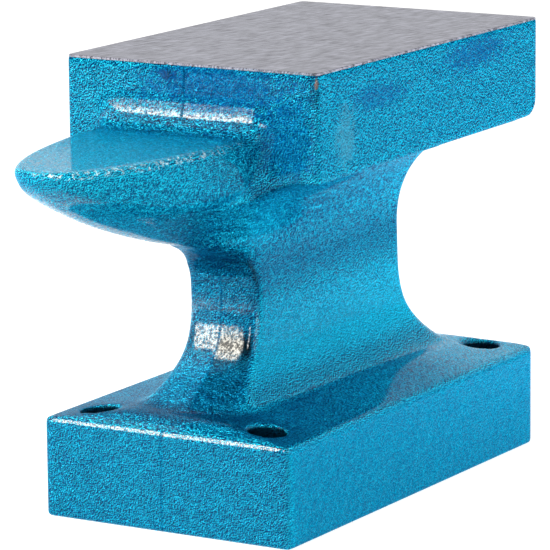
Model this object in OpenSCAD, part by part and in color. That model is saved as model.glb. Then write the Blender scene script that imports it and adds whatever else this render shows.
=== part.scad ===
// Bench anvil: a small cast anvil with a broad square table, a short blunt horn
// and a four-hole base. The origin is the middle of the underside, +X runs
// towards the horn and +Z is up. All lengths are in millimetres.

/* [Base] */
// Length of the base, front to rear
base_len = 126.8; // [116:0.2:150]
// Width of the base
base_w = 70.8; // [60:0.2:90]
// Height of the base's front edge
base_front_h = 25; // [18:0.5:27]
// Height of the base's rear edge
base_rear_h = 26; // [18:0.2:27]
// Height of the seat in the middle of the base, where the waist rises
seat_h = 28; // [28:0.5:32]
// Width of the slope between the seat and the base's front and rear edges
base_toe = 6; // [5:0.1:9]
// Radius of the base's upright corners
base_corner_r = 3; // [1:0.5:6]
// Radius of the base's top edges
base_edge_r = 2.2; // [0.5:0.1:4]
// Radius of the base's bottom edges
base_sole_r = 1.2; // [0.5:0.1:2]

/* [Bolt holes] */
// Diameter of the four bolt holes
hole_d = 9.5; // [5:0.1:13]
// Distance between the holes along the base
hole_span_x = 109; // [100:0.5:116]
// Distance between the holes across the base
hole_span_y = 48; // [44:0.5:54]
// Width of the rounded lip at the top of each hole
hole_lip = 0.6; // [0.2:0.1:1.5]

/* [Waist] */
// Distance from the base's middle to the waist's front face
waist_front = 33.8; // [30:0.2:40]
// Distance from the base's middle to the waist's rear face
waist_rear = 39.4; // [30:0.2:42]
// Thickness of the waist
waist_t = 20.6; // [16:0.2:28]
// Height at which the waist is slimmest
waist_mid_z = 54; // [48:0.5:58]
// Radius of the waist's upright edges
waist_edge_r = 3.2; // [1:0.1:6]
// How far the front face leans back from the parting line, across its half
waist_draft = 0.06; // [0:0.01:0.12]

/* [Parting plane] */
// Sideways place of the mould's parting plane at the foot
parting_low = -0.8; // [-2:0.1:2]
// Sideways place of the mould's parting plane at the horn
parting_high = -1.8; // [-2:0.1:2]

/* [Foot flare] */
// How far the waist's foot runs out to the front
foot_front = 19.5; // [10:0.5:20]
// How far the waist's foot runs out to the rear
foot_rear = 17.4; // [10:0.1:17.4]
// How far the waist's foot runs out to each side
foot_side = 5.4; // [2:0.1:7]
// Height of the flare at the sides of the foot
foot_side_rise = 14; // [8:0.5:18]
// Sharpness of the sweep at the front of the foot
foot_front_sweep = 2.8; // [2:0.1:3.5]
// Sharpness of the sweep at the rear of the foot
foot_rear_sweep = 2.8; // [2:0.1:3.5]
// How far the foot's ends lean back from the parting line, across their half
foot_draft = 0.16; // [0:0.01:0.2]

/* [Table] */
// Length of the table without the horn
table_len = 113.4; // [100:0.2:130]
// Width of the table
table_w = 71; // [62:0.2:80]
// Distance from the base's middle to the table's front face
table_front = 49.3; // [46:0.1:54]
// Height of the working face above the bench
face_z = 113.1; // [106:0.1:125]
// Height of the table's underside at the front
under_front_z = 86.1; // [84:0.1:90]
// Rise of the underside from the front to the heel
under_rise = 1.5; // [0:0.1:4]
// Radius of the heel's lower corner
heel_r = 5.5; // [2:0.5:9]
// Radius of the table's upright and lower edges
table_edge_r = 1.2; // [0.4:0.1:2]
// Depth of the ground and hardened working face
face_t = 1.5; // [1:0.5:6]

/* [Neck flare] */
// Height at which the waist starts to widen into the table
neck_z = 60.5; // [58:0.5:66]
// How far the neck runs out to the rear under the heel
neck_rear = 13; // [8:0.5:18]
// Radius of the neck's rear corners where it meets the table
neck_rear_r = 16; // [6:0.5:20]
// Length of the neck's front corners where it passes the horn's keel
neck_front_r = 15; // [6:0.5:18]
// How nearly straight those corners are cut (0 is a round corner)
neck_front_cut = 0.5; // [0:0.1:0.8]
// How late the neck's rear widens on its way up
neck_rear_sweep = 1.6; // [1:0.1:2.5]

/* [Horn] */
// Length of the horn in front of the table
horn_len = 64; // [50:0.1:75]
// Width of the horn at its root
horn_w = 44; // [38:0.5:50]
// Height of the horn's flat top at its root
horn_top_z = 97.1; // [95:0.1:100]
// Fall of the horn's top towards the tip
horn_fall = 0.8; // [0:0.1:4]
// Depth of the horn at its root, from top to keel
horn_depth = 29; // [26:0.5:30]
// How late the horn's plan narrows (1 is at once)
horn_taper = 1.8; // [1.3:0.1:2.4]
// Bluntness of the horn's plan at the tip (1 is pointed)
horn_blunt = 0.44; // [0.35:0.01:0.8]
// How late the keel rises to the tip (1 is a straight rise)
horn_rise = 0.54; // [0.5:0.01:0.9]
// Fullness of the horn's section at its root (1 is a wedge, 2 an ellipse)
horn_root_full = 1.5; // [1.1:0.05:1.6]
// Fullness of the horn's section towards its tip
horn_tip_full = 1.6; // [1.4:0.05:2.4]
// Radius along the upper edges of the horn
horn_edge_r = 2; // [0.5:0.1:3]
// Radius of the fillet between the horn's top and the table
horn_root_r = 7.5; // [3:0.5:9]
// Radius of the fillet between the horn's sides and the table
horn_side_r = 2; // [1:0.1:3]
// Extra fillet radius where the horn's underside reaches the table's lower edge
horn_corner_r = 5; // [2:0.5:7]

/* [Hidden] */
PAINT = [0.09, 0.52, 0.74];
STEEL = [0.60, 0.59, 0.61];

// Points to a rounded corner, rings in each stretch, points along a horn section
corner_n = 8;
nose_n = 3;
foot_rings = 14;
web_rings = 5;
neck_rings = 16;
belly_n = 14;
shoulder_n = 4;
root_rings = 8;
horn_rings = 26;

// Play for cutters to pass through, and height of a hole's lip cutter in lip widths
through = 1;
lip_reach = 4;

base_half = base_len / 2;
base_mid_h = (base_front_h + base_rear_h) / 2;
base_tilt = atan((base_rear_h - base_front_h) / base_len);
table_rear = table_front - table_len;
table_half = table_w / 2;
waist_half = waist_t / 2;
slab_top_z = face_z - face_t;
seat_margin = 0.6;
seat_half_y = waist_half + foot_side + abs(parting_low) + seat_margin;

// Powers that shape the sides of the foot, the neck's front and its front corners
foot_side_sweep = 2;
neck_front_sweep = 3;
neck_corner_sweep = 1.7;

// Height of the keel at the horn's root, and where the neck turns forward to it
keel_reach = 8.6;
keel_drop = 2.2;
keel_root_z = horn_top_z - horn_depth;
keel_back_x = waist_front + keel_reach;
keel_back_z = keel_root_z - keel_drop;
keel_half = 0.6;
neck_side_rise = under_front_z - neck_z;
neck_cut_rise = horn_depth / 5;

// Angle on the horn's section at which the extra corner fillet is largest, its
// spread, the angle at which the side fillet starts, and how soon it is whole
corner_at = 60;
corner_spread = 12;
fillet_from = 30;
fillet_ramp = 15;
root_reach = max(horn_root_r, horn_side_r + horn_corner_r);

// Largest edge radius of the horn as a share of its depth and half width, and how
// closely its sections crowd towards the tip
edge_of_depth = 0.25;
edge_of_half = 0.2;
tip_crowding = 1.8;

function under_z(x) = under_front_z + under_rise * (table_front - x) / table_len;
function mix(a, b, t) = a + (b - a) * t;
function clamp01(t) = min(1, max(0, t));
function arc(cx, cy, r, from, to, n = corner_n) =
    [for (i = [0:n]) let (a = mix(from, to, i / n)) [cx + r * cos(a), cy + r * sin(a)]];
function flip_x(points) = [for (i = [len(points) - 1:-1:0]) [-points[i][0], points[i][1]]];

// A square-ended plan with rounded upright corners
function plan(x0, x1, half, r) = concat(
    arc(x1 - r, half - r, r, 0, 90),
    arc(x0 + r, half - r, r, 90, 180),
    arc(x0 + r, r - half, r, 180, 270),
    arc(x1 - r, r - half, r, 270, 360));

// The point in the middle of a ring
function middle(ring) = [for (p = ring) 1] * ring / len(ring);

// A solid bounded by rings of points, each ring as long as the others, closed
// by triangles to the first ring's middle and to a point at the end
module loft(rings, tip) {
    n = len(rings[0]);
    last = len(rings) - 1;
    end = (last + 1) * n;
    faces = [for (i = [0:n - 1])
        let (j = (i + 1) % n)
        each concat(
            [[i, j, end]],
            [for (k = [0:last - 1]) each [
                [k * n + i, (k + 1) * n + j, k * n + j],
                [k * n + i, (k + 1) * n + i, (k + 1) * n + j]]],
            [[last * n + j, last * n + i, end + 1]])];
    points = concat([for (ring = rings) each ring], [middle(rings[0]), tip]);
    polyhedron(points = points, faces = faces, convexity = 6);
}

// Base: a thick slab whose top falls away from the seat to each edge

// Half of a slab's profile with a rounded sole and plain upper side
function sole_half(half) = concat(
    arc(half - base_sole_r, base_sole_r, base_sole_r, 270, 360),
    [[half, seat_h + through]]);

// Points of a rounded top edge, then the slope up to the seat
function top_half(half, edge_h, seat_half) =
    let (lean = atan((seat_h - edge_h) / (half - seat_half)),
         drop = base_edge_r * tan((90 - lean) / 2))
    concat(
        arc(half - base_edge_r, edge_h - drop, base_edge_r, 0, 90 - lean),
        [[seat_half, seat_h]]);

// Profile seen from the side, front edge low and rear edge higher
function base_length() = concat(
    arc(base_half - base_sole_r, base_sole_r, base_sole_r, 270, 360),
    top_half(base_half, base_front_h, base_half - base_toe),
    flip_x(top_half(base_half, base_rear_h, base_half - base_toe)),
    flip_x(arc(base_half - base_sole_r, base_sole_r, base_sole_r, 270, 360)));

// Upper part of the profile seen from the front, its slopes meeting in a ridge
// over the seat
function base_slopes() =
    let (half = base_w / 2,
         side = top_half(half, base_mid_h, seat_half_y),
         ridge_z = seat_h + (seat_h - base_mid_h) * seat_half_y / (half - seat_half_y))
    concat([[half, -base_mid_h]], side, [[0, ridge_z]], flip_x(side), [[-half, -base_mid_h]]);

module base_body() {
    sole = sole_half(base_w / 2);
    intersection() {
        linear_extrude(seat_h)
            polygon(plan(-base_half, base_half, base_w / 2, base_corner_r));
        rotate([90, 0, 0])
            linear_extrude(base_w + 2 * through, center = true)
                polygon(base_length());
        rotate([90, 0, 90])
            linear_extrude(base_len + 2 * through, center = true)
                polygon(concat(sole, flip_x(sole)));
        rotate([0, base_tilt, 0])
            rotate([90, 0, 90])
                linear_extrude(base_len + 4 * through, center = true)
                    polygon(base_slopes());
    }
}

module bolt_hole() {
    lip_z = base_front_h + (seat_h - base_front_h) / 2;
    lip_h = lip_reach * hole_lip;
    translate([0, 0, -through])
        cylinder(h = seat_h + 2 * through, d = hole_d, $fn = 64);
    translate([0, 0, lip_z])
        cylinder(h = lip_h, d1 = hole_d, d2 = hole_d + 2 * lip_h, $fn = 64);
}

module base() {
    color(PAINT)
        difference() {
            base_body();
            for (sx = [-1, 1], sy = [-1, 1])
                translate([sx * hole_span_x / 2, sy * hole_span_y / 2, 0])
                    bolt_hole();
        }
}

// Waist: rings of one outline that changes with height. Each side of a ring has
// half of the front face, a bow out to the full width, a straight side, a rounded
// rear corner and half of the rear face. The two sides meet at the parting plane.

function half_outline(front, rear, half, nose, bow, rear_r, draft, cut = 1) =
    let (x1 = front - draft * nose)
    concat(
        [for (i = [1:nose_n - 1]) [mix(front, x1, i / nose_n), nose * i / nose_n]],
        [for (i = [0:corner_n]) let (a = 90 * i / corner_n)
            [x1 - bow * (1 - pow(cos(a), cut)), nose + (half - nose) * pow(sin(a), cut)]],
        arc(rear + rear_r, half - rear_r, rear_r, 90, 180));

function ring(z, mid, front, rear, right, left) = concat(
    [[front, mid, z]],
    [for (p = right) [p[0], mid + p[1], z]],
    [[rear, mid, z]],
    [for (i = [len(left) - 1:-1:0]) [left[i][0], mid - left[i][1], z]]);

function parting(z) = mix(parting_low, parting_high, clamp01((z - seat_h) / (keel_root_z - seat_h)));

// Foot, from the seat (t = 1) up to the slimmest height (t = 0)
function foot_ring(t) =
    let (z = mix(waist_mid_z, seat_h, t),
         spread = foot_side * pow(clamp01((seat_h + foot_side_rise - z) / foot_side_rise), foot_side_sweep),
         half = waist_half + spread,
         r = waist_edge_r + spread,
         front = waist_front + foot_front * pow(t, foot_front_sweep),
         rear = -waist_rear - foot_rear * pow(t, foot_rear_sweep),
         side = half_outline(front, rear, half, half - r, r, r, mix(waist_draft, foot_draft, t)))
    ring(z, parting(z), front, rear, side, side);

// The neck's front sweeps forward to the horn's keel
function neck_front(z) = z <= keel_back_z
    ? mix(waist_front, keel_back_x,
        pow(clamp01((z - waist_mid_z) / (keel_back_z - waist_mid_z)), neck_front_sweep))
    : mix(keel_back_x, table_front, clamp01((z - keel_back_z) / (keel_root_z - keel_back_z)));

// Web, from the slimmest height (t = 0) up to the neck (t = 1)
function web_ring(t) =
    let (z = mix(waist_mid_z, neck_z, t),
         r = waist_edge_r,
         side = half_outline(neck_front(z), -waist_rear, waist_half, waist_half - r, r, r, waist_draft))
    ring(z, parting(z), neck_front(z), -waist_rear, side, side);

// Neck, by the angle of its flare from upright (0) to level under the table (90).
// Above the keel its front is as wide as the horn's root.
function neck_side(a, z, reach) =
    let (flare = 1 - cos(a),
         half = mix(waist_half, reach, flare),
         rise = clamp01((z - neck_z) / (keel_root_z - neck_z)),
         passing = mix(waist_edge_r, neck_front_r, pow(rise, neck_corner_sweep)),
         corner = mix(passing, table_edge_r, flare),
         nose = min(half - table_edge_r, max(keel_half, half - corner, lookup(z, horn_root_widths))),
         cut = 1 + neck_front_cut * (1 - flare) * clamp01((z - keel_back_z) / neck_cut_rise),
         lean = waist_draft * clamp01((keel_back_z - z) / (keel_back_z - neck_z)))
    half_outline(neck_front(z), neck_back(flare), half, nose, max(corner, half - nose),
        mix(waist_edge_r, neck_rear_r, flare), lean, cut);

function neck_back(flare) = -waist_rear - neck_rear * pow(flare, neck_rear_sweep);

function neck_ring(a) =
    let (z = neck_z + neck_side_rise * sin(a),
         mid = parting(z),
         reach = table_half - table_edge_r,
         flat = ring(z, mid, neck_front(z), neck_back(1 - cos(a)),
             neck_side(a, z, reach - mid), neck_side(a, z, reach + mid)))
    [for (p = flat) [p[0], p[1], z + (under_z(p[0]) - under_front_z) * sin(a)]];

module waist() {
    rings = concat(
        [for (i = [0:foot_rings - 1]) foot_ring(1 - i / foot_rings)],
        [for (i = [0:web_rings - 1]) web_ring(i / web_rings)],
        [for (i = [0:neck_rings]) neck_ring(90 * i / neck_rings)]);
    color(PAINT)
        loft(rings, middle(rings[len(rings) - 1]));
}

// Table: a block with a rounded lower heel, cut to the same plan as the face

module table_plan() {
    polygon(plan(table_rear, table_front, table_half, table_edge_r));
}

module table() {
    heel_z = under_z(table_rear + heel_r) + heel_r;
    side = [
        [table_front, under_front_z],
        [table_front, slab_top_z],
        [table_rear, slab_top_z],
        each arc(table_rear + heel_r, heel_z, heel_r, 180, 270)
    ];
    color(PAINT)
        intersection() {
            translate([0, 0, under_front_z - through])
                linear_extrude(slab_top_z - under_front_z + 2 * through)
                    table_plan();
            rotate([90, 0, 0])
                linear_extrude(table_w + 2 * through, center = true)
                    polygon(side);
        }
}

// Face: the ground top of the table

module face() {
    color(STEEL)
        translate([0, 0, slab_top_z])
            linear_extrude(face_t)
                table_plan();
}

// Horn: sections across its length, flat on top and wedge-shaped below, that
// grow at the root by a fillet whose radius changes from the keel to the top

function horn_half_top(t) = horn_w / 2 * pow(1 - pow(t, horn_taper), horn_blunt);
function horn_deep(t) = horn_depth * pow(1 - t, horn_rise);
function horn_full(t) = mix(horn_root_full, horn_tip_full, clamp01(2 * t));
function horn_top(t) = horn_top_z - horn_fall * t;

// Fillet radius by the angle on the section from the keel (0) to the side (90)
function belly_r(a) =
    horn_side_r * clamp01((a - fillet_from) / (90 - fillet_from))
    + horn_corner_r * exp(-pow((a - corner_at) / corner_spread, 2))
        * clamp01((a - fillet_from) / fillet_ramp);

// One side of a section from keel to top: distance out, height, fillet radius
function horn_side(t) =
    let (half = horn_half_top(t),
         top = horn_top(t),
         deep = horn_deep(t),
         e = min(horn_edge_r, edge_of_depth * deep, edge_of_half * half),
         k = 2 / horn_full(t))
    concat(
        [for (i = [0:belly_n]) let (a = 90 * i / belly_n)
            [half * pow(sin(a), k), top - e - (deep - e) * pow(cos(a), k), belly_r(a)]],
        [for (i = [1:shoulder_n]) let (a = 90 * i / shoulder_n)
            [half - e + e * cos(a), top - e + e * sin(a),
                mix(horn_side_r, horn_root_r, sqrt(i / shoulder_n))]]);

// Moves each point of a side outwards as its fillet asks at the distance dx
function grow(side, dx) =
    let (last = len(side) - 1)
    [for (i = [0:last])
        let (before = side[max(0, i - 1)],
             after = side[min(last, i + 1)],
             gap = [after[0] - before[0], after[1] - before[1]],
             along = gap / norm(gap),
             r = side[i][2],
             out = r <= dx ? 0 : r * (1 - sqrt(1 - pow(1 - dx / r, 2))))
        [side[i][0] + out * along[1], side[i][1] - out * along[0]]];

function horn_section(t, dx) =
    let (right = grow(horn_side(t), dx),
         left = [for (i = [len(right) - 1:-1:1]) [-right[i][0], right[i][1]]])
    [for (p = concat(right, left)) [table_front + t * horn_len, parting_high + p[0], p[1]]];

// Half width of the horn's root by height, below the table
horn_root_widths = [for (p = grow(horn_side(0), 0)) if (p[1] < under_front_z) [p[1], p[0]]];

module horn() {
    start = root_reach / horn_len;
    sections = concat(
        [for (i = [0:root_rings - 1])
            let (dx = root_reach * (1 - cos(90 * i / root_rings)))
            horn_section(dx / horn_len, dx)],
        [for (i = [0:horn_rings - 1])
            let (s = i / horn_rings, t = mix(start, 1, 1 - pow(1 - s, tip_crowding)))
            horn_section(t, root_reach)]);
    color(PAINT)
        loft(sections, [table_front + horn_len, parting_high, horn_top(1)]);
}

base();
waist();
table();
face();
horn();
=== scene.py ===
import math

import bmesh
import bpy
import numpy as np
from mathutils import Matrix, Vector


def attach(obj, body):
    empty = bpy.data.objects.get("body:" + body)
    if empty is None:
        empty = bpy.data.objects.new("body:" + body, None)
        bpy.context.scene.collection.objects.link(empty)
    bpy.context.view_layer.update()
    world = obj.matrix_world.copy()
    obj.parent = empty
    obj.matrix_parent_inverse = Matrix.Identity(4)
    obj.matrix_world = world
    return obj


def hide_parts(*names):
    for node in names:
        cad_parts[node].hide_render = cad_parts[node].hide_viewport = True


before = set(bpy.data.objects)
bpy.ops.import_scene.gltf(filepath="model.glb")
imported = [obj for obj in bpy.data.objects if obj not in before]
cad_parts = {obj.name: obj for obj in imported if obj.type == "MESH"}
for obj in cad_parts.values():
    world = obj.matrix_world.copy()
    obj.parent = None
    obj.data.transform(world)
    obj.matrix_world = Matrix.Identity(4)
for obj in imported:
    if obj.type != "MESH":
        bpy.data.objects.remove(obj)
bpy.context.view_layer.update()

# Bench anvil: a painted casting with a ground face, on a pale studio floor.
# Lengths of the pieces are in millimetres until a mesh is made, and in metres from there on.

MM = 0.001

# Base and bolt holes
SEAT_Z = 28.0
HOLE_X, HOLE_Y = 54.5, 24.0

# Waist, slimmest at WAIST_MID_Z, with its foot, neck and parting plane
WAIST_FRONT, WAIST_REAR, WAIST_HALF = 33.8, 39.4, 10.3
WAIST_MID_Z, WAIST_EDGE_R, WAIST_DRAFT = 54.0, 3.2, 0.04
PARTING_LOW, PARTING_HIGH = -0.8, -1.8
FOOT_FRONT, FOOT_REAR, FOOT_SWEEP, FOOT_DRAFT = 19.5, 17.4, 2.8, 0.16
FOOT_SIDE, FOOT_SIDE_RISE = 5.4, 14.0
NECK_Z, NECK_REAR, NECK_REAR_R, NECK_REAR_SWEEP, NECK_FRONT_SWEEP = 60.5, 13.0, 16.0, 1.6, 3

# Table
TABLE_FRONT, TABLE_LEN, TABLE_HALF, TABLE_EDGE_R = 49.3, 113.4, 35.5, 1.2
UNDER_FRONT_Z, UNDER_RISE = 86.1, 1.5

# Ground face: how deep its bare edge shows, how far it is set in and sunk, its edge's bevel
FACE_Z, FACE_DEPTH, FACE_INSET, FACE_SUNK, FACE_BEVEL = 113.1, 0.3, 0.12, 0.3, 0.16

# Horn: flat top, steep side down to a crease, rounded underside up from the keel
HORN_LEN, HORN_HALF, HORN_TOP_Z, HORN_FALL, HORN_DEPTH = 63.6, 22.0, 97.2, 1.0, 29.3
HORN_TAPER, HORN_BLUNT, HORN_RISE = 1.8, 0.437, 0.55
CREASE_HALF, CREASE_DROP, CREASE_SET, HORN_BELLY = (0.89, 0.8), (0.37, 0.64), 0.5, 1.5
HORN_EDGE_R, HORN_ROOT_R, HORN_SIDE_R = 2.0, 7.5, 2.0
KEEL_Z = HORN_TOP_Z - HORN_DEPTH

# Front of the neck: height, how far forward, half-width of its flat nose, length of its slant
KEEL_BACK_X, KEEL_BACK_Z = WAIST_FRONT + 8.6, KEEL_Z - 2.2
BOW = np.array([
    (KEEL_BACK_Z, KEEL_BACK_X, 4.5, 9.0),
    (KEEL_Z, TABLE_FRONT, 3.0, 12.0),
    (70.0, 53.5, 3.2, 14.5),
    (72.0, 58.0, 4.0, 16.5),
    (74.0, 61.0, 5.5, 18.0),
    (76.0, 62.0, 8.5, 18.5),
    (78.0, 61.5, 11.8, 17.5),
    (80.0, 58.5, 15.0, 14.0),
    (82.0, 51.0, 19.0, 6.5),
    (84.0, TABLE_FRONT, 24.0, 2.5),
    (UNDER_FRONT_Z, TABLE_FRONT, TABLE_HALF, 1.2),
])
BOW_Z, BOW_X, BOW_NOSE, BOW_SLANT = BOW.T
HOLLOW_FULL_Z, HOLLOW_FADE_Z = 72, (79, 84)

# Counts of points and rings, and how far a loft runs on into its neighbour
NOSE_POINTS, CORNER_POINTS, REAR_POINTS = 6, 20, 16
FOOT_RINGS, WEB_RINGS, NECK_RINGS = 60, 20, 60
FILLET_RINGS, HORN_RINGS, TIP_CROWDING = 36, 90, 1.8
OVERRUN = 1.5

# Fusing: voxel size, how far a point moves to its neighbours, rounds of that
VOXEL, EASE = 0.55, 0.5
CREASE_ROUNDS, ALL_ROUNDS, SOFT_ROUNDS, BULGE_ROUNDS = 60, 3, 30, 12


def mix(a, b, t):
    return a + (b - a) * t


def clamp01(t):
    return min(1.0, max(0.0, t))


def step(value, start, end):
    t = np.clip((value - start) / (end - start), 0, 1)
    return t * t * (3 - 2 * t)


def turn(steps, start=0.0, end=90.0):
    return [math.radians(mix(start, end, i / steps)) for i in range(steps + 1)]


# Horn: sections across its length, with a root fillet of changing radius

def horn_side(t, belly=48, flank=20, shoulder=10):
    """Half a section from keel to top: distance out, height, fillet radius."""
    half = HORN_HALF * (1 - t ** HORN_TAPER) ** HORN_BLUNT
    top = HORN_TOP_Z - HORN_FALL * t
    deep = HORN_DEPTH * (1 - t) ** HORN_RISE
    edge = min(HORN_EDGE_R, 0.25 * deep, 0.2 * half)
    settled = clamp01(t / CREASE_SET)
    crease_y = half * mix(*CREASE_HALF, settled)
    crease_z = top - edge - (deep - edge) * mix(*CREASE_DROP, settled)
    points = []
    for i in range(belly):
        s = i / belly
        points.append((crease_y * s, mix(top - deep, crease_z, s ** HORN_BELLY),
                       HORN_SIDE_R * clamp01((s - 0.4) / 0.6)))
    for i in range(flank):
        s = i / flank
        points.append((mix(crease_y, half, 1 - (1 - s) ** 1.4), mix(crease_z, top - edge, s),
                       HORN_SIDE_R))
    for i, a in enumerate(turn(shoulder)):
        points.append((half - edge + edge * math.cos(a), top - edge + edge * math.sin(a),
                       mix(HORN_SIDE_R, HORN_ROOT_R, math.sqrt(i / shoulder))))
    points = np.array(points)
    # The crease fades out towards the tip
    soft = EASE * float(step(t, 0.08, 0.6))
    last = belly + flank - 1
    for _ in range(CREASE_ROUNDS):
        between = (points[:last - 1, :2] + points[2:last + 1, :2]) / 2
        points[1:last, :2] += soft * (between - points[1:last, :2])
    return points


def grown(side, dx):
    """The side moved out by its fillet, at dx from the table's front."""
    before, after = side[[0, *range(len(side) - 1)]], side[[*range(1, len(side)), -1]]
    along = after[:, :2] - before[:, :2]
    along /= np.maximum(np.linalg.norm(along, axis=1, keepdims=True), 1e-9)
    r = side[:, 2]
    depth = np.clip(1 - dx / np.maximum(r, 1e-6), 0, 1)
    out = np.where(r > dx, r * (1 - np.sqrt(1 - depth ** 2)), 0)
    return np.stack([side[:, 0] + out * along[:, 1], side[:, 1] - out * along[:, 0]], axis=1)


def horn_section(t, dx, back=0.0):
    right = grown(horn_side(t), dx)
    left = right[:0:-1] * (-1, 1)
    loop = np.concatenate([right, left])
    x = np.full(len(loop), TABLE_FRONT + t * HORN_LEN - back)
    return np.stack([x, PARTING_HIGH + loop[:, 0], loop[:, 1]], axis=1)


def horn_rings():
    rings = [horn_section(0, 0, back=OVERRUN)]
    for a in turn(FILLET_RINGS)[:-1]:
        dx = HORN_ROOT_R * (1 - math.cos(a))
        rings.append(horn_section(dx / HORN_LEN, dx))
    for i in range(HORN_RINGS):
        t = mix(HORN_ROOT_R / HORN_LEN, 1, 1 - (1 - i / HORN_RINGS) ** TIP_CROWDING)
        rings.append(horn_section(t, HORN_ROOT_R))
    return rings


# Waist: rings by height, each made of two sides that meet at the parting plane

def parting(z):
    return mix(PARTING_LOW, PARTING_HIGH, clamp01((z - SEAT_Z) / (KEEL_Z - SEAT_Z)))


def half_outline(front, rear, half, nose, bow, rear_r, draft, cut=1.0):
    """One side of a ring: flat nose, corner that bows out, straight side, rounded rear corner."""
    x1 = front - draft * nose
    points = [(mix(front, x1, i / NOSE_POINTS), nose * i / NOSE_POINTS)
              for i in range(1, NOSE_POINTS)]
    for a in turn(CORNER_POINTS):
        points.append((x1 - bow * (1 - max(0.0, math.cos(a)) ** cut),
                       nose + (half - nose) * math.sin(a) ** cut))
    for a in turn(REAR_POINTS, 90, 180):
        points.append((rear + rear_r + rear_r * math.cos(a),
                       half - rear_r + rear_r * math.sin(a)))
    return points


def ring(z, mid, front, rear, right, left):
    flat = [(front, mid)] + [(x, mid + y) for x, y in right]
    flat += [(rear, mid)] + [(x, mid - y) for x, y in left[::-1]]
    return np.array([(x, y, z) for x, y in flat])


def foot_ring(t):
    z = mix(WAIST_MID_Z, SEAT_Z, t)
    flare = FOOT_SIDE * clamp01((SEAT_Z + FOOT_SIDE_RISE - z) / FOOT_SIDE_RISE) ** 2
    half, r = WAIST_HALF + flare, WAIST_EDGE_R + flare
    front = WAIST_FRONT + FOOT_FRONT * t ** FOOT_SWEEP
    rear = -WAIST_REAR - FOOT_REAR * t ** FOOT_SWEEP
    draft = mix(WAIST_DRAFT, FOOT_DRAFT, t ** 3)
    side = half_outline(front, rear, half, half - r, r, r, draft)
    return ring(z, parting(z), front, rear, side, side)


def neck_front(z):
    if z <= KEEL_BACK_Z:
        risen = clamp01((z - WAIST_MID_Z) / (KEEL_BACK_Z - WAIST_MID_Z))
        return mix(WAIST_FRONT, KEEL_BACK_X, risen ** NECK_FRONT_SWEEP)
    return np.interp(z, BOW_Z, BOW_X)


def web_ring(t):
    z, r = mix(WAIST_MID_Z, NECK_Z, t), WAIST_EDGE_R
    front = neck_front(z)
    side = half_outline(front, -WAIST_REAR, WAIST_HALF, WAIST_HALF - r, r, r, WAIST_DRAFT)
    return ring(z, parting(z), front, -WAIST_REAR, side, side)


def neck_ring(a):
    z = NECK_Z + (UNDER_FRONT_Z - NECK_Z) * math.sin(a)
    flare, mid = 1 - math.cos(a), parting(z)
    rear = -WAIST_REAR - NECK_REAR * flare ** NECK_REAR_SWEEP
    begun = clamp01((z - NECK_Z) / (KEEL_BACK_Z - NECK_Z))
    cut = 1 + float(step(z, KEEL_BACK_Z, HOLLOW_FULL_Z) * (1 - step(z, *HOLLOW_FADE_Z)))
    bow = mix(WAIST_EDGE_R, np.interp(z, BOW_Z, BOW_SLANT), begun)
    rear_r = mix(WAIST_EDGE_R, NECK_REAR_R, flare)
    sides = []
    for reach in (TABLE_HALF - TABLE_EDGE_R - mid, TABLE_HALF - TABLE_EDGE_R + mid):
        half = mix(WAIST_HALF, reach, flare)
        nose = mix(WAIST_HALF - WAIST_EDGE_R, np.interp(z, BOW_Z, BOW_NOSE), begun)
        nose = min(half - TABLE_EDGE_R, nose)
        sides.append(half_outline(neck_front(z), rear, half, nose, bow, rear_r,
                                  WAIST_DRAFT * (1 - begun), cut))
    points = ring(z, mid, neck_front(z), rear, *sides)
    # The upper rings tilt with the table's underside
    under_z = UNDER_FRONT_Z + UNDER_RISE * (TABLE_FRONT - points[:, 0]) / TABLE_LEN
    points[:, 2] = z + (under_z - UNDER_FRONT_Z) * math.sin(a)
    return points


def waist_rings():
    foot = [foot_ring(1 - i / FOOT_RINGS) for i in range(FOOT_RINGS)]
    web = [web_ring(i / WEB_RINGS) for i in range(WEB_RINGS)]
    neck = [neck_ring(a) for a in turn(NECK_RINGS)]
    return [foot[0] - (0, 0, OVERRUN), *foot, *web, *neck, neck[-1] + (0, 0, OVERRUN)]


# Mesh code

def add_loft(bm, rings, tip=None):
    rows = [[bm.verts.new(Vector(p) * MM) for p in points] for points in rings]
    count = len(rows[0])
    last = rings[-1].mean(axis=0) if tip is None else tip
    ends = [bm.verts.new(Vector(p) * MM) for p in (rings[0].mean(axis=0), last)]
    for i in range(count):
        j = (i + 1) % count
        bm.faces.new((rows[0][j], rows[0][i], ends[0]))
        bm.faces.new((rows[-1][i], rows[-1][j], ends[1]))
        for low, high in zip(rows, rows[1:]):
            bm.faces.new((low[i], low[j], high[j], high[i]))


def add_node(bm, name, top=math.inf):
    """A CAD node's own mesh, cut down to the height top."""
    start = len(bm.verts)
    bm.from_mesh(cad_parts[name].data)
    bm.verts.ensure_lookup_table()
    for v in bm.verts[start:]:
        v.co.z = min(v.co.z, top * MM)


def new_object(name, bm):
    mesh = bpy.data.meshes.new(name)
    bm.to_mesh(mesh)
    bm.free()
    obj = bpy.data.objects.new(name, mesh)
    bpy.context.scene.collection.objects.link(obj)
    return obj


def fuse(obj):
    remesh = obj.modifiers.new("fuse", "REMESH")
    remesh.mode = "VOXEL"
    remesh.voxel_size = VOXEL * MM
    remesh.use_smooth_shade = True
    seen = obj.evaluated_get(bpy.context.evaluated_depsgraph_get())
    made = bpy.data.meshes.new_from_object(seen)
    obj.modifiers.clear()
    obj.data = made


def mesh_arrays(mesh):
    points = np.empty(len(mesh.vertices) * 3)
    mesh.vertices.foreach_get("co", points)
    edges = np.empty(len(mesh.edges) * 2, dtype=np.int64)
    mesh.edges.foreach_get("vertices", edges)
    return points.reshape(-1, 3), edges.reshape(-1, 2)


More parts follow.
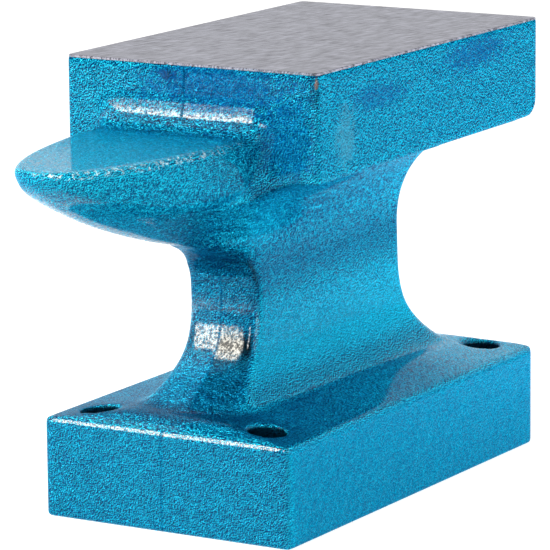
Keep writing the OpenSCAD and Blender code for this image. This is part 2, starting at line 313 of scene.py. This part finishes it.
def relax(points, edges, weight, rounds):
    """Move each point towards the mean of its neighbours, by its weight, in each round."""
    count = len(points)
    low, high = edges.T
    degree = np.maximum(np.bincount(edges.ravel(), minlength=count), 1)[:, None]
    for _ in range(rounds):
        total = np.stack([
            np.bincount(low, points[high, k], count) + np.bincount(high, points[low, k], count)
            for k in range(3)], axis=1)
        points = points + weight[:, None] * (total / degree - points)
    return points


# Masks over the casting. A limit such as z_from=(31, 37) fades a mask in between 31 and 37 mm,
# and z_to fades it out. Ahead, across, up and down say how much a point faces that way.

def places_of(points):
    """Where each point is, and how far it is from the axis of the nearest bolt hole."""
    x, y, z = (points / MM).T
    return {"x": x, "y": y, "z": z, "hole": np.hypot(np.abs(x) - HOLE_X, np.abs(y) - HOLE_Y)}


def surface_of(points, normals):
    return {**places_of(points), "ahead": normals[:, 0], "across": np.abs(normals[:, 1]),
            "up": normals[:, 2], "down": -normals[:, 2]}


def where(places, **limits):
    mask = 1.0
    for limit, (start, end) in limits.items():
        measure, side = limit.split("_")
        fade = step(places[measure], start, end)
        mask = mask * (fade if side == "from" else 1 - fade)
    return mask


def summed(surface, start, rows):
    total = start
    for amount, limits in rows:
        total = total + amount * where(surface, **limits)
    return total


def soft_places(places):
    """Where the casting's corners are rounder: round the seat, the horn's root and the neck."""
    x, y, z = places["x"], places["y"], places["z"]
    seat = np.exp(-((z - SEAT_Z) / 2.5) ** 2) * where(places, hole_from=(5.5, 7.5))
    seat = seat * (np.abs(x) < 61) * (np.abs(y) < 33)
    root = where(places, x_from=(47, 49), x_to=(60, 66), z_from=(66, 70), z_to=(103, 107))
    neck = where(places, z_from=(60, 64), z_to=(84, 86), x_from=(20, 32))
    return np.clip(np.maximum.reduce([seat, root * (np.abs(y) < 30), 0.7 * neck]), 0, 1)


def relief_depth(surface):
    """How deep the hammered relief is."""
    return np.clip(summed(surface, 0.75, [
        # Table's front, base's sides, foot, fillet over the horn
        (0.25, dict(ahead_from=(0.4, 0.8), x_to=(53, 58), z_from=(92, 98))),
        (-0.35, dict(across_from=(0.5, 0.9), z_to=(25, 29))),
        (-0.25, dict(ahead_from=(0.25, 0.6), x_to=(52, 56), z_from=(27, 29), z_to=(34, 40))),
        (0.4, dict(across_to=(0.5, 0.9), x_from=(49.8, 50.6), x_to=(56, 58), z_from=(97, 98))),
    ]), 0.15, 1)


def coarse_places(surface):
    """Where the relief is coarser: above the horn and on the waist's front."""
    return np.clip(summed(surface, 0.0, [
        (0.45, dict(ahead_from=(0.2, 0.6), z_from=(95, 98))),
        (0.4, dict(ahead_from=(0.2, 0.6), x_to=(46, 50), z_from=(36, 42), z_to=(62, 70))),
    ]), 0, 1)


def gloss_depth(surface):
    """How glossy the paint's top coat is."""
    ahead, up = dict(ahead_from=(0.3, 0.8)), dict(up_from=(0.3, 0.8))
    gloss = summed(surface, 0.1, [
        (0.08, ahead),
        # Fillet over the horn, waist's front
        (0.7, dict(ahead, x_from=(49.8, 50.6), x_to=(55, 57), z_from=(97, 98))),
        (0.7, dict(ahead, x_to=(44, 48), z_from=(32, 38), z_to=(50, 54))),
        (0.15, up),
        # Horn's tip, rear of the base's top, horn's underside
        (0.5, dict(up, x_from=(66, 100), z_from=(59, 61))),
        (0.5, dict(up, x_to=(-50, -10), z_to=(59, 61))),
        (0.8, dict(down_from=(0.55, 0.9), x_from=(52, 58))),
    ])
    rim = where(surface, x_from=(60.5, 61.5), z_from=(23.5, 24.5), z_to=(29, 31))
    rim = rim * np.clip(4 * surface["ahead"] * surface["up"], 0, 1)
    below_face = where(surface, z_to=(111.0, 112.0))
    return np.clip(gloss + 0.9 * rim, 0, 1) * below_face * (1 - hole_depth(surface))


def painted_light_and_shade(surface):
    """Painted light and shade by place: lighter beside the web, darker under the horn and on the
    foot.
    """
    side, ahead = dict(across_from=(0.45, 0.8)), dict(ahead_from=(0.25, 0.6))
    web = dict(side, x_to=(53, 60), z_from=(31, 37), z_to=(84, 87))
    foot = dict(ahead, x_to=(52, 56), z_from=(27, 29), z_to=(40, 48))
    seat = dict(up_from=(0.85, 0.97), z_from=(24, 26), z_to=(29, 33))
    return summed(surface, 0.98, [
        # Web's side, its lower part, its upper part, neck's flare, horn's flank
        (-0.35, web),
        (0.9, dict(web, z_to=(42, 62))),
        (0.4, dict(web, z_from=(60, 70))),
        (0.45, dict(web, x_from=(22, 38), z_from=(62, 70))),
        (0.12, dict(side, x_from=(52, 58), z_from=(76, 84))),
        # Foot, its near half, waist's front, neck under the horn
        (-0.3325, foot),
        (-0.3325, dict(foot, y_from=(-1.2, -0.4))),
        (-0.48, dict(ahead, x_to=(58, 62), z_from=(36, 44), z_to=(84, 86))),
        (-0.05, dict(down_from=(0.15, 0.5), x_from=(30, 38), x_to=(64, 70),
                     z_from=(58, 62), z_to=(82, 85))),
        # Base's top before the waist and at its rear, base's front end
        (-0.25, dict(seat, x_from=(10, 30))),
        (-0.3, dict(seat, x_from=(44, 50))),
        (0.4, dict(seat, x_to=(-50, -20))),
        (-0.35, dict(ahead_from=(0.6, 0.9), z_to=(25, 27))),
        # Horn's root and top, table's front and side
        (-0.1, dict(up_from=(0.4, 0.7), x_from=(49, 51), x_to=(56, 60), z_from=(90, 94))),
        (0.6, dict(up_from=(0.6, 0.9), x_from=(56, 62), z_from=(90, 94))),
        (-0.25, dict(ahead_from=(0.5, 0.9), x_to=(51, 53), z_from=(86, 90))),
        (-0.13, dict(side, x_to=(50, 52), z_from=(86, 90))),
    ])


def edge_wear_and_glint(surface, bulge):
    """Paint worn off along the horn's near top edge, whose pale flecks also serve as a painted
    highlight.
    """
    edge = where(surface, x_from=(54, 58), y_from=(-4, 2), z_from=(94.3, 95.2))
    return edge * step(bulge, 0.08, 0.16)


def seam_strength(surface):
    """How plain the parting line is: none on the horn, strongest on the table's front."""
    horn = where(surface, x_from=(50.5, 52.0), z_from=(60, 70))
    table = where(surface, z_from=(97, 99))
    return where(surface, ahead_from=(0.45, 0.75)) * (1 - horn) * (1 + 0.6 * table)


# Inside the bolt holes, where the paint gets painted shade and no gloss
def hole_depth(surface):
    inside = where(surface, hole_to=(4.8, 5.1), up_to=(0.2, 0.6))
    return inside * (surface["z"] < 27.5)


def make_casting():
    bm = bmesh.new()
    add_node(bm, "base")
    add_node(bm, "table")
    add_node(bm, "face", top=FACE_Z - FACE_DEPTH)
    add_loft(bm, waist_rings())
    add_loft(bm, horn_rings(), tip=(TABLE_FRONT + HORN_LEN, PARTING_HIGH, HORN_TOP_Z - HORN_FALL))
    bmesh.ops.remove_doubles(bm, verts=bm.verts, dist=1e-7)
    casting = new_object("casting", bm)
    fuse(casting)
    mesh = casting.data
    points, edges = mesh_arrays(mesh)
    even = np.full(len(points), EASE)
    points = relax(points, edges, even, ALL_ROUNDS)
    points = relax(points, edges, EASE * soft_places(places_of(points)), SOFT_ROUNDS)
    mesh.vertices.foreach_set("co", points.ravel())
    mesh.update()
    normals = np.empty(len(points) * 3)
    mesh.vertices.foreach_get("normal", normals)
    normals = normals.reshape(-1, 3)
    rounder = relax(points, edges, even, BULGE_ROUNDS)
    bulge = ((points - rounder) * normals).sum(axis=1) / MM
    surface = surface_of(points, normals)
    for name, values in (
            ("relief", relief_depth(surface)), ("gloss", gloss_depth(surface)),
            ("coarse", coarse_places(surface)), ("light_and_shade", painted_light_and_shade(surface)),
            ("seam", seam_strength(surface)), ("wear_and_glint", edge_wear_and_glint(surface, bulge)),
            ("hole", hole_depth(surface))):
        mesh.attributes.new(name, "FLOAT", "POINT").data.foreach_set("value", values)
    return casting


def make_ground_face():
    bm = bmesh.new()
    r = TABLE_EDGE_R
    x0, x1 = TABLE_FRONT - TABLE_LEN + FACE_INSET + r, TABLE_FRONT - FACE_INSET - r
    y1 = TABLE_HALF - FACE_INSET - r
    plan = []
    for cx, cy, start in ((x1, y1, 0), (x0, y1, 90), (x0, -y1, 180), (x1, -y1, 270)):
        plan += [(cx + r * math.cos(a), cy + r * math.sin(a)) for a in turn(8, start, start + 90)]
    rings = []
    for z, bevel in ((FACE_Z - FACE_DEPTH - FACE_SUNK, 0.0), (FACE_Z - FACE_BEVEL, 0.0),
                     (FACE_Z, FACE_BEVEL)):
        rings.append(np.array([
            (x - math.copysign(bevel, x), y - math.copysign(bevel, y), z) for x, y in plan]))
    add_loft(bm, rings)
    return new_object("ground_face", bm)


# Shader nodes

def feed(tree, node, **values):
    """Set or link a node's inputs, each by name (Base_Color) or by number (i0)."""
    for key, value in values.items():
        numbered = key[0] == "i" and key[1:].isdigit()
        socket = node.inputs[int(key[1:]) if numbered else key.replace("_", " ")]
        if isinstance(value, bpy.types.NodeSocket):
            tree.links.new(value, socket)
        else:
            socket.default_value = value
    return node


def add(tree, kind, settings=None, **values):
    node = tree.nodes.new(kind)
    for key, value in (settings or {}).items():
        setattr(node, key, value)
    return feed(tree, node, **values)


def new_group(name, inputs, outputs):
    group = bpy.data.node_groups.new(name, "ShaderNodeTree")
    for label, kind, value in inputs:
        socket = group.interface.new_socket(label, in_out="INPUT", socket_type=kind)
        if value is not None:
            socket.default_value = value
    for label in outputs:
        group.interface.new_socket(label, in_out="OUTPUT", socket_type="NodeSocketFloat")
    return group, group.nodes.new("NodeGroupInput").outputs, group.nodes.new("NodeGroupOutput")


def new_material(name):
    material = bpy.data.materials.new(name)
    material.use_nodes = True
    return material, material.node_tree


def math_node(tree, operation, a, b=0.0, c=0.0):
    return add(tree, "ShaderNodeMath", {"operation": operation}, i0=a, i1=b, i2=c).outputs[0]


def times(tree, a, b):
    return math_node(tree, "MULTIPLY", a, b)


def vector_node(tree, operation, **values):
    node = add(tree, "ShaderNodeVectorMath", {"operation": operation}, **values)
    measured = operation in ("LENGTH", "DISTANCE", "DOT_PRODUCT")
    return node.outputs["Value" if measured else "Vector"]


def spread(tree, value, low, high, to_low=0.0, to_high=1.0):
    node = add(tree, "ShaderNodeMapRange", i0=value, i1=low, i2=high, i3=to_low, i4=to_high)
    return node.outputs[0]


def noise_field(tree, place, scale, detail=2.0, roughness=0.5):
    node = add(tree, "ShaderNodeTexNoise", Vector=place, Scale=scale, Detail=detail,
               Roughness=roughness)
    return node.outputs[0]


def blend_value(tree, factor, a, b):
    return add(tree, "ShaderNodeMix", i0=factor, i2=a, i3=b).outputs[0]


def blend_colour(tree, factor, a, b, kind="MIX"):
    settings = {"data_type": "RGBA", "blend_type": kind}
    return add(tree, "ShaderNodeMix", settings, i0=factor, i6=a, i7=b).outputs[2]


def place_in_mm(tree):
    spot = tree.nodes.new("ShaderNodeTexCoord").outputs["Object"]
    return add(tree, "ShaderNodeMapping", Vector=spot, Scale=(1000, 1000, 1000)).outputs[0]


def stored(tree, name):
    return add(tree, "ShaderNodeAttribute", {"attribute_name": name}).outputs["Fac"]


def bumped(tree, height, distance, strength=1.0):
    node = add(tree, "ShaderNodeBump", Strength=strength, Distance=distance, Height=height)
    return node.outputs[0]


def ray_kinds(tree):
    rays = tree.nodes.new("ShaderNodeLightPath").outputs
    reflected = math_node(tree, "MAXIMUM", rays["Is Glossy Ray"], rays["Is Transmission Ray"])
    return rays["Is Camera Ray"], reflected


# Paint: blues of the grain, then of smooth and mottled paint, of each bead's painted shade and
# painted highlight, of painted light and the bluer tint of painted shade, of the seam, of painted
# shade in the holes, and of worn paint with a painted highlight
TROUGH_BLUE, CREST_BLUE = (0.0, 0.17, 0.36, 1), (0.0, 0.38, 0.62, 1)
SMOOTH_BLUE, MOTTLE_BLUE = (0.0, 0.24, 0.46, 1), (0.0, 0.14, 0.34, 1)
BEAD_SHADE_BLUE, LIT_BLUE = (0.0, 0.02, 0.11, 1), (0.02, 0.64, 0.86, 1)
PAINTED_LIGHT_BLUE, SHADE_BLUER = (0.01, 0.42, 0.56, 1), (1.0, 1.0, 1.22, 1)
SEAM_BLUE, HOLE_SHADE_BLUE, WORN_AND_GLINT = (0.0, 0.06, 0.17, 1), (0.0, 0.008, 0.02, 1), (0.75, 0.95, 1.0, 1)

# Stains, worn places and painted shade in the paint: centre, reach, ragged edge, strength, colour
DARK, STAIN_AND_SHADE_BLUE = (0.0, 0.015, 0.06, 1), (0.0, 0.09, 0.3, 1)
GREY, RUST = (0.1, 0.32, 0.45, 1), (0.24, 0.16, 0.13, 1)
STAINS_AND_SHADE = [
    ((49.3, -6.0, 110.2), (3, 3.2, 1.9), 0.5, 0.8, DARK),
    # Painted shade on the table's front, in its middle and at its lower right
    ((49.3, 8.0, 108.0), (3, 22.0, 7.0), 0.7, 0.6, STAIN_AND_SHADE_BLUE),
    ((49.3, 27.0, 96.0), (3, 8.0, 11.0), 0.7, 0.5, STAIN_AND_SHADE_BLUE),
    # Worn paint, rust and stains
    ((49.3, 34.6, 109.0), (2.0, 1.5, 4.5), 0.6, 0.45, DARK),
    ((49.3, 35.5, 110.5), (0.8, 0.8, 2.6), 0.7, 0.8, RUST),
    ((-30.0, 35.5, 108.0), (17.0, 3, 4.0), 1.1, 0.65, STAIN_AND_SHADE_BLUE),
    ((20.0, 35.5, 104.0), (13.0, 3, 3.2), 1.0, 0.5, STAIN_AND_SHADE_BLUE),
    ((36.0, 35.5, 96.0), (5.0, 3, 8.0), 0.8, 0.55, GREY),
    # Painted shade on the neck's front under the horn
    ((49.3, 0.0, 79.0), (18.0, 11.0, 9.0), 0.4, 0.3, STAIN_AND_SHADE_BLUE),
]

# Grains of the hammered relief per millimetre, its height in metres, the step along which each
# bead's slope is read for its painted shade and painted highlight
GRAIN, RELIEF_HEIGHT, SHADING_STEP = 2.3, 0.0008, (0.04, -0.06, 0.1)

# Ground metal: greys of the grinding lines and of its patches, the lines' turn and stretch
LINE_DARK, LINE_LIGHT = (0.06, 0.06, 0.08, 1), (0.4, 0.405, 0.5, 1)
PATCH_GREY = (0.3, 0.31, 0.36, 1)
LINE_TURN, LINE_STRETCH, LINE_HEIGHT = math.radians(18), (0.15, 2.1, 1), 0.00002


def hammered_relief():
    """Beads of hammered paint: their height, their crests, and their slope towards a fixed light,
    which gives each bead a painted shade on one side and a painted highlight on the other.
    """
    group, given, leave = new_group(
        "hammered_relief",
        [("Place", "NodeSocketVector", None), ("Grain", "NodeSocketFloat", GRAIN),
         ("Coarse", "NodeSocketFloat", 0.0), ("Depth", "NodeSocketFloat", 1.0)],
        ["Height", "Crests", "Lee"])
    place, grain = given["Place"], given["Grain"]
    beads = noise_field(group, place, grain, 1.0)
    beyond = noise_field(group, vector_node(group, "ADD", i0=place, i1=SHADING_STEP), grain, 1.0)
    slope = math_node(group, "SUBTRACT", beads, beyond)
    specks = noise_field(group, place, times(group, grain, 2.2), 1.0)
    lumps = noise_field(group, place, times(group, grain, 0.55), 1.0)
    swell = noise_field(group, place, times(group, grain, 0.16))
    lumps = spread(group, lumps, 0.3, 0.7, 0.15, 0.95)
    beads = blend_value(group, given["Coarse"], beads, lumps)
    fine = math_node(group, "MULTIPLY_ADD", specks, 0.35, beads)
    height = math_node(group, "MULTIPLY_ADD", swell, 2.2, fine)
    feed(group, leave, Height=times(group, height, given["Depth"]),
         Crests=spread(group, fine, 0.52, 0.84), Lee=spread(group, slope, -0.05, 0.05))
    return group


def soft_spot():
    """A ragged spot: 1 at its centre, 0 beyond its reach."""
    group, given, leave = new_group(
        "soft_spot",
        [("Place", "NodeSocketVector", None), ("Centre", "NodeSocketVector", (0, 0, 0)),
         ("Reach", "NodeSocketVector", (5, 5, 5)), ("Fray", "NodeSocketFloat", 0.5)],
        ["Mask"])
    away = vector_node(group, "SUBTRACT", i0=given["Place"], i1=given["Centre"])
    scaled = vector_node(group, "DIVIDE", i0=away, i1=given["Reach"])
    far = vector_node(group, "LENGTH", i0=scaled)
    ragged = noise_field(group, given["Place"], 0.7, 4.0, 0.65)
    ragged = math_node(group, "SUBTRACT", ragged, 0.5)
    edge = math_node(group, "MULTIPLY_ADD", ragged, times(group, given["Fray"], 4.0), far)
    feed(group, leave, Mask=spread(group, edge, 1.1, 0.6))
    return group


def seam_line():
    """The mould's parting line, which wavers a little."""
    group, given, leave = new_group(
        "seam_line",
        [("Place", "NodeSocketVector", None), ("Strength", "NodeSocketFloat", 1.0)],
        ["Line"])
    parts = add(group, "ShaderNodeSeparateXYZ", i0=given["Place"]).outputs
    plane = spread(group, parts["Z"], SEAT_Z, KEEL_Z, PARTING_LOW, PARTING_HIGH)
    waver = noise_field(group, given["Place"], 0.25, 2.0, 0.6)
    off = math_node(group, "SUBTRACT", parts["Y"], plane)
    off = math_node(group, "ADD", off, spread(group, waver, 0.3, 0.7, -0.25, 0.25))
    near = spread(group, math_node(group, "ABSOLUTE", off), 0.15, 0.5, 1.0, 0.0)
    feed(group, leave, Line=times(group, near, given["Strength"]))
    return group


def paint_material():
    material, tree = new_material("blue_hammered_paint")
    place, depth, light_and_shade = place_in_mm(tree), stored(tree, "relief"), stored(tree, "light_and_shade")
    relief = add(tree, "ShaderNodeGroup", {"node_tree": hammered_relief()},
                 Place=place, Depth=depth, Coarse=stored(tree, "coarse")).outputs
    crests, bead_shading = relief["Crests"], relief["Lee"]
    seam = add(tree, "ShaderNodeGroup", {"node_tree": seam_line()},
               Place=place, Strength=stored(tree, "seam")).outputs["Line"]

    # Grain, with a painted shade on one side of each bead and a painted highlight on the other
    colour = blend_colour(tree, spread(tree, crests, 0.1, 0.9), TROUGH_BLUE, CREST_BLUE)
    colour = blend_colour(tree, spread(tree, depth, 0.1, 0.6, 0.6, 0.0), colour, SMOOTH_BLUE)
    mottle = noise_field(tree, place, 0.12, 3.0, 0.6)
    colour = blend_colour(tree, spread(tree, mottle, 0.35, 0.65, 0.0, 0.3), colour, MOTTLE_BLUE)
    shaded = times(tree, spread(tree, bead_shading, 0.5, 0.95, 0.0, 1.2), depth)
    colour = blend_colour(tree, shaded, colour, BEAD_SHADE_BLUE)
    lit = times(tree, spread(tree, bead_shading, 0.45, 0.05, 0.0, 1.2), depth)
    colour = blend_colour(tree, lit, colour, LIT_BLUE)

    # Painted light and shade by place: paler where painted light falls, darker and bluer where
    # painted shade falls
    colour = vector_node(tree, "SCALE", i0=colour, Scale=light_and_shade)
    colour = blend_colour(tree, spread(tree, light_and_shade, 1.0, 1.6, 0.0, 0.5), colour, PAINTED_LIGHT_BLUE)
    colour = blend_colour(tree, spread(tree, light_and_shade, 0.95, 0.4), colour, SHADE_BLUER, "MULTIPLY")

    # Stains and painted shade, parting line, painted shade in the holes, worn edge with its
    # painted highlight
    spot_group = soft_spot()
    for centre, reach, fray, strength, shade in STAINS_AND_SHADE:
        spot = add(tree, "ShaderNodeGroup", {"node_tree": spot_group},
                   Place=place, Centre=centre, Reach=reach, Fray=fray).outputs["Mask"]
        colour = blend_colour(tree, times(tree, spot, strength), colour, shade)
    colour = blend_colour(tree, times(tree, seam, 0.38), colour, SEAM_BLUE)
    colour = blend_colour(tree, times(tree, stored(tree, "hole"), 0.97), colour, HOLE_SHADE_BLUE)
    flecks = spread(tree, noise_field(tree, place, 0.8, 3.0, 0.7), 0.52, 0.6)
    worn_and_glint = times(tree, times(tree, stored(tree, "wear_and_glint"), flecks), 0.75)
    colour = blend_colour(tree, worn_and_glint, colour, WORN_AND_GLINT)

    height = math_node(tree, "MULTIPLY_ADD", seam, 0.12, relief["Height"])
    gloss = times(tree, stored(tree, "gloss"), spread(tree, crests, 0.35, 0.85, 0.3, 1.5))
    gloss = times(tree, gloss, spread(tree, seam, 0.0, 1.0, 1.0, 0.2))
    feed(tree, tree.nodes["Principled BSDF"], Base_Color=colour,
         Normal=bumped(tree, height, RELIEF_HEIGHT), Metallic=0.95, Roughness=0.34,
         Specular_Tint=(0.2, 0.6, 0.85, 1), Specular_IOR_Level=0.05,
         Coat_Weight=gloss, Coat_Roughness=0.1, Coat_IOR=1.5)
    return material


def ground_material():
    material, tree = new_material("ground_metal")
    place = place_in_mm(tree)
    turned = add(tree, "ShaderNodeMapping", Vector=place, Rotation=(0, 0, LINE_TURN)).outputs[0]
    along = add(tree, "ShaderNodeMapping", Vector=turned, Scale=LINE_STRETCH).outputs[0]
    lines = noise_field(tree, along, 1.0, 2.0, 0.8)
    patches = noise_field(tree, place, 0.09)
    colour = blend_colour(tree, spread(tree, lines, 0.36, 0.64), LINE_DARK, LINE_LIGHT)
    colour = blend_colour(tree, spread(tree, patches, 0.4, 0.7, 0.0, 0.2), colour, PATCH_GREY)
    feed(tree, tree.nodes["Principled BSDF"], Base_Color=colour, Metallic=1.0,
         Roughness=spread(tree, lines, 0.3, 0.7, 0.42, 0.3),
         Normal=bumped(tree, lines, LINE_HEIGHT, 0.6))
    return material


# Pieces

casting = make_casting()
casting.data.materials.clear()
casting.data.materials.append(paint_material())
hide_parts("base", "waist", "table", "horn")
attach(casting, "root")

ground_face = make_ground_face()
ground_face.data.materials.append(ground_material())
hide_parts("face")
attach(ground_face, "root")


# Studio, in metres: a floor that shows white but keeps the shadow, a pale room, softboxes

FLOOR_HALF, FLOOR_GREY, FLOOR_GLOW = 4.0, (0.5, 0.5, 0.5, 1), 0.85
FRONT_SIDE, REAR_SIDE, PAINTED_POOL = (0.725, 0.688, 0), (-0.725, -0.688, 0), (-0.19, 0.125, 0)
WHITE = (1, 1, 1, 1)
ROOM_DIFFUSE, LAMP_DISTANCE, LAMP_AIM = 0.35, 1.0, Vector((0.01, 0, 0.06))

# Name, azimuth, elevation, width, height, radiance, colour
LAMPS = [
    ("key_softbox", -36, 31, 0.36, 0.75, 17.0, (1.0, 0.96, 0.84)),
    ("front_softbox", 10, 26, 0.2, 0.5, 14.0, (1, 1, 1)),
    ("side_softbox", 85, 11, 1.1, 0.5, 3.0, (1, 1, 1)),
]

# The camera fitted to the photograph: angles in degrees, focal length and width in its pixels
CAMERA_AZIMUTH, CAMERA_ELEVATION, CAMERA_ROLL = 30.98, 11.29, -0.514
CAMERA_FOCAL_PX, PHOTO_WIDTH_PX, SENSOR_WIDTH = 4021.0, 550.0, 36.0
CAMERA_TARGET, CAMERA_DISTANCE, CAMERA_REACH = Vector((0.01025, 0.0, 0.05457)), 1.00885, 50.0


def make_floor():
    bm = bmesh.new()
    bmesh.ops.create_grid(bm, x_segments=8, y_segments=8, size=FLOOR_HALF)
    floor = new_object("floor", bm)
    material, tree = new_material("pale_floor")
    tree.nodes.clear()
    spot = tree.nodes.new("ShaderNodeTexCoord").outputs["Object"]
    ahead = vector_node(tree, "DOT_PRODUCT", i0=spot, i1=FRONT_SIDE)
    near = vector_node(tree, "LENGTH", i0=spot)
    painted_pool = vector_node(tree, "DISTANCE", i0=spot, i1=PAINTED_POOL)
    # How bright the floor's glow is in the paint's reflections, a painted reflection: dim in
    # front, darker close by as a painted shadow, bright in one painted pool of light
    bright = times(tree, spread(tree, ahead, 0.06, 0.2, 1.35, 0.15),
                   spread(tree, near, 0.08, 0.2, 0.6, 1.0))
    bright = times(tree, bright, spread(tree, painted_pool, 0.04, 0.2, 1.9, 1.0))
    seen, reflected = ray_kinds(tree)
    shown = math_node(tree, "MAXIMUM", seen, times(tree, reflected, bright))
    glow = add(tree, "ShaderNodeEmission", Color=WHITE, Strength=times(tree, shown, FLOOR_GLOW))
    matt = add(tree, "ShaderNodeBsdfDiffuse", Color=FLOOR_GREY)
    both = add(tree, "ShaderNodeAddShader", i0=matt.outputs[0], i1=glow.outputs[0])
    add(tree, "ShaderNodeOutputMaterial", Surface=both.outputs[0])
    floor.data.materials.append(material)


def make_world():
    world = bpy.data.worlds.new("room")
    bpy.context.scene.world = world
    world.use_nodes = True
    tree = world.node_tree
    place = tree.nodes.new("ShaderNodeTexCoord").outputs["Generated"]
    behind = vector_node(tree, "DOT_PRODUCT", i0=place, i1=REAR_SIDE)
    height = add(tree, "ShaderNodeSeparateXYZ", i0=place).outputs["Z"]
    # The room in the paint: dark in front and dim overhead
    room = times(tree, spread(tree, behind, -0.36, -0.1, 0.1, 1.0),
                 spread(tree, height, 0.75, 0.95, 1.0, 0.25))
    seen, reflected = ray_kinds(tree)
    level = blend_value(tree, reflected, ROOM_DIFFUSE, room)
    level = blend_value(tree, seen, level, 1.0)
    feed(tree, tree.nodes["Background"], Color=WHITE, Strength=level)


def direction(azimuth, elevation):
    a, e = math.radians(azimuth), math.radians(elevation)
    return Vector((math.cos(e) * math.cos(a), math.cos(e) * math.sin(a), math.sin(e)))


def make_softbox(name, azimuth, elevation, width, height, radiance, colour):
    lamp = bpy.data.lights.new(name, "AREA")
    lamp.shape = "RECTANGLE"
    lamp.size, lamp.size_y = width, height
    lamp.energy = radiance * math.pi * width * height
    lamp.color = colour
    obj = bpy.data.objects.new(name, lamp)
    towards = direction(azimuth, elevation)
    obj.location = LAMP_AIM + towards * LAMP_DISTANCE
    obj.rotation_euler = towards.to_track_quat("Z", "Y").to_euler()
    bpy.context.scene.collection.objects.link(obj)


def make_camera():
    back, roll = direction(CAMERA_AZIMUTH, CAMERA_ELEVATION), math.radians(CAMERA_ROLL)
    right = Vector((0, 0, 1)).cross(back).normalized()
    up = back.cross(right)
    across = right * math.cos(roll) + up * math.sin(roll)
    upright = up * math.cos(roll) - right * math.sin(roll)
    camera = bpy.data.cameras.new("camera")
    camera.sensor_width = SENSOR_WIDTH
    camera.lens = SENSOR_WIDTH * CAMERA_FOCAL_PX / PHOTO_WIDTH_PX
    camera.clip_end = CAMERA_REACH
    obj = bpy.data.objects.new("camera", camera)
    matrix = Matrix((across, upright, back)).transposed().to_4x4()
    matrix.translation = CAMERA_TARGET + back * CAMERA_DISTANCE
    obj.matrix_world = matrix
    bpy.context.scene.collection.objects.link(obj)
    bpy.context.scene.camera = obj


make_camera()
make_floor()
make_world()
for lamp in LAMPS:
    make_softbox(*lamp)
bpy.context.scene.view_settings.view_transform = "Standard"
